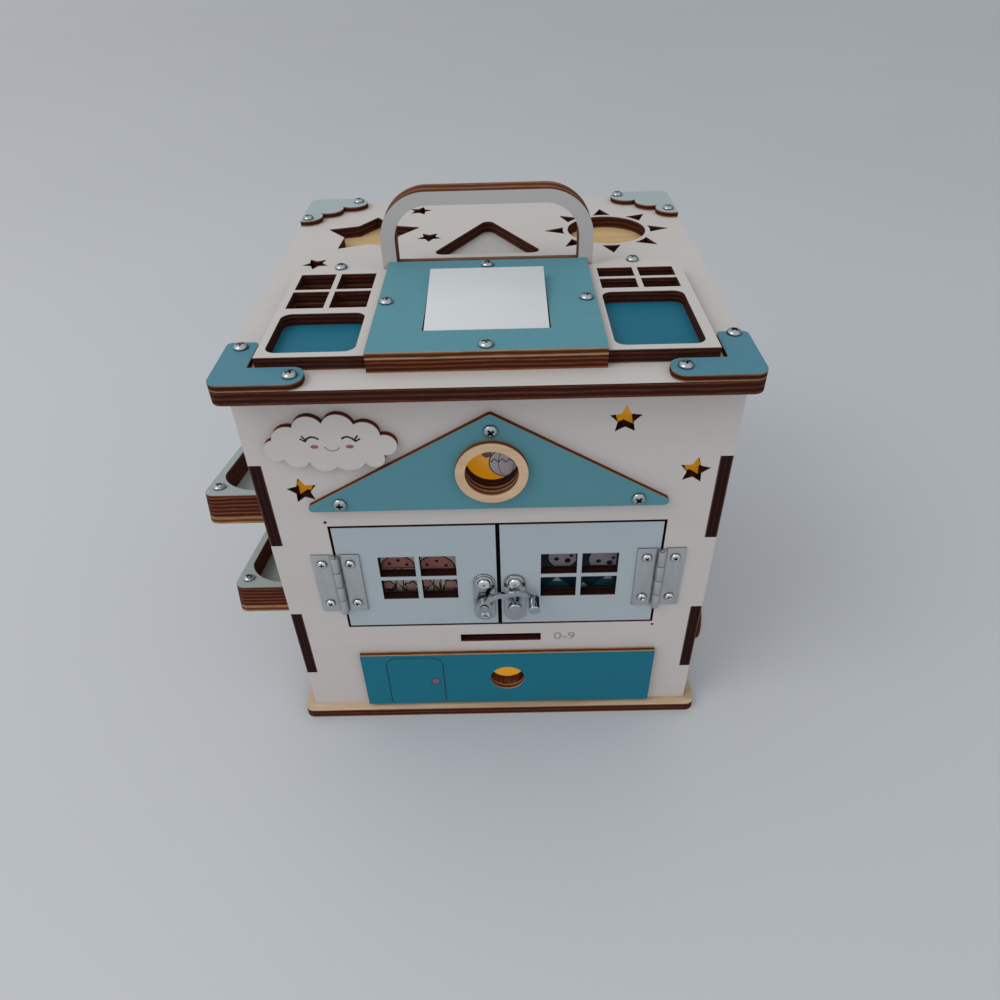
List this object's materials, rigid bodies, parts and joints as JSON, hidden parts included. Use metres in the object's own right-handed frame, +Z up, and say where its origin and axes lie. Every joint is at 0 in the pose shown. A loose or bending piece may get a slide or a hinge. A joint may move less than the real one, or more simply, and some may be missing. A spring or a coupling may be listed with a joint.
{
  "type": "activity cube",
  "caption": "Wooden play house cube with latched double doors, a drawer below a posting slot, a rocker switch, lid shapes and trays, side trays, a dial and a carrying handle.",
  "frame": {"origin": "centre of the base plate's bottom face", "axes": "+Z up; +Y from the front wall with the doors to the back wall; +X to the right, seen from the front"},
  "size_m": [0.2563, 0.2385, 0.2716],
  "materials": {
    "white_ply": "white paint on plywood, matt",
    "teal_ply": "teal paint on plywood, satin",
    "pale_ply": "pale blue paint on plywood, satin",
    "mint_ply": "mint grey paint on plywood, matt",
    "deep_ply": "deep blue paint on plywood, satin",
    "birch_ply": "bare birch plywood",
    "amber_acrylic": "amber, glossy",
    "zinc": "zinc plated",
    "key_plastic": "white, semi-gloss",
    "switch_plastic": "matt",
    "black_plastic": "matt",
    "lamp": "matt",
    "picture": "printed plywood"
  },
  "bodies": {
    "house": {"base_plate": "birch_ply", "front_wall": "white_ply", "back_wall": "white_ply", "left_wall": "white_ply", "right_wall": "white_ply", "lid_board": "white_ply", "star_floor": "birch_ply", "triangle_floor": "white_ply", "sun_floor": "birch_ply", "front_left_bracket": "teal_ply", "front_right_bracket": "teal_ply", "back_left_bracket": "pale_ply", "back_right_bracket": "pale_ply", "left_facade": "white_ply", "right_facade": "white_ply", "left_tray_liner": "deep_ply", "right_tray_liner": "deep_ply", "switch_spacer": "birch_ply", "switch_plate": "teal_ply", "switch_body": "switch_plastic", "carry_handle": "white_ply", "lid_screws": "zinc", "pediment": "teal_ply", "window_ring": "birch_ply", "cloud_plaque": "white_ply", "front_screws": "zinc", "amber_sheet": "amber_acrylic", "picture_spacer": "birch_ply", "picture_panel": "picture", "left_wall_leaf": "zinc", "left_hinge_pin": "zinc", "right_wall_leaf": "zinc", "right_hinge_pin": "zinc", "wall_leaf_screws": "zinc", "drawer_runners": "birch_ply", "upper_tray_rim": "mint_ply", "upper_tray_floor": "mint_ply", "lower_tray_rim": "mint_ply", "lower_tray_floor": "mint_ply", "tray_screws": "zinc", "dial_axle": "zinc", "battery_box": "black_plastic", "lamp_strip": "lamp"},
    "left_door": {"left_door": "pale_ply", "left_door_leaf": "zinc", "left_door_screws": "zinc", "latch_plate": "zinc", "latch_pivot": "zinc"},
    "latch": {"latch_arm": "zinc"},
    "right_door": {"right_door": "pale_ply", "right_door_leaf": "zinc", "right_door_screws": "zinc", "strike_plate": "zinc"},
    "drawer": {"drawer_front": "deep_ply", "drawer_box": "birch_ply", "drawer_floor": "amber_acrylic"},
    "key": {"rocker_key": "key_plastic"},
    "dial": {"side_dial": "birch_ply"}
  },
  "joints": [
    {"name": "left_door_swing", "type": "hinge", "parent": "house", "child": "left_door", "pos_m": [-0.07955, -0.1122, 0.107], "axis": [0, 0, -1], "range_deg": [0, 150]},
    {"name": "right_door_swing", "type": "hinge", "parent": "house", "child": "right_door", "pos_m": [0.08395, -0.1122, 0.107], "axis": [0, 0, 1], "range_deg": [0, 150]},
    {"name": "latch_lift", "type": "hinge", "parent": "left_door", "child": "latch", "pos_m": [-0.0056, -0.1151, 0.0923], "axis": [0, -1, 0], "range_deg": [0, 120]},
    {"name": "drawer_slide", "type": "slide", "parent": "house", "child": "drawer", "axis": [0, -1, 0], "range_m": [0, 0.12]},
    {"name": "key_rock", "type": "hinge", "parent": "house", "child": "key", "pos_m": [0, -0.06325, 0.2372], "axis": [-1, 0, 0], "range_deg": [0, 13]},
    {"name": "dial_turn", "type": "hinge", "parent": "house", "child": "dial", "pos_m": [0.11, -0.091, 0.06], "axis": [1, 0, 0], "continuous": true}
  ],
  "couplings": [
    {"joint": "right_door_swing", "follows": "left_door_swing", "ratio": 1}
  ]
}
